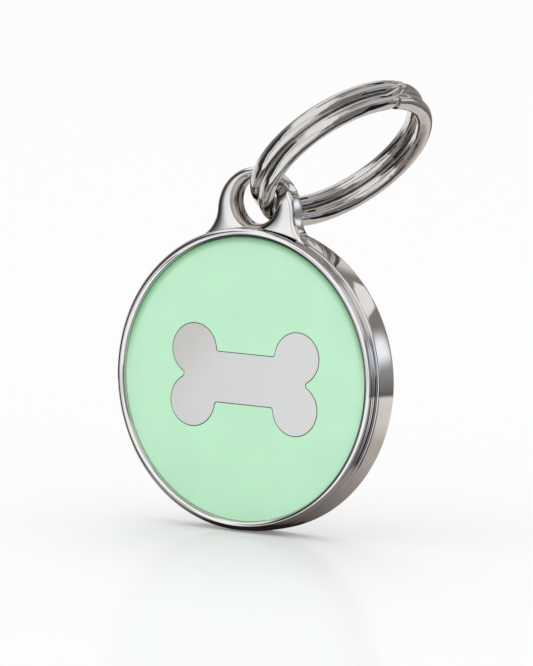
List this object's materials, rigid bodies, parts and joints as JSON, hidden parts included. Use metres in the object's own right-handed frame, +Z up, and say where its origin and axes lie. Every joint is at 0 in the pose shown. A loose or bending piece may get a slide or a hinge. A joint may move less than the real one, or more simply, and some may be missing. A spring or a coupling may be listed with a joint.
{
  "type": "pet id tag",
  "caption": "Round metal pet tag with a raised polished rim, pale enamel face, inlaid bone badge and a split ring that swings in its hanging loop.",
  "frame": {"origin": "centre of the case's flat back face", "axes": "+Z up to the hanging loop, -Y out of the enamel face, +Y out of the back face, +X to the right seen from the front"},
  "size_m": [0.028, 0.018, 0.042],
  "materials": {
    "case_metal": "polished plating on a zinc casting",
    "bezel_metal": "mirror polished plating",
    "enamel": "smooth soft-gloss pale green enamel",
    "badge_metal": "fine satin, pale silver",
    "plate_metal": "fine brushed, blank for engraving",
    "adhesive": "clear-white film",
    "ring_wire": "polished plating on spring steel wire"
  },
  "bodies": {
    "tag": {"case": "case_metal", "bezel_ring": "bezel_metal", "enamel_fill": "enamel", "bone_badge": "badge_metal", "back_plate": "plate_metal", "adhesive_disc": "adhesive"},
    "ring": {"split_ring": "ring_wire"}
  },
  "joints": [
    {"name": "ring_swing", "type": "hinge", "parent": "tag", "child": "ring", "pos_m": [0, -0.002, 0.0163], "axis": [0, 1, 0], "range_deg": [-160, 71]}
  ]
}
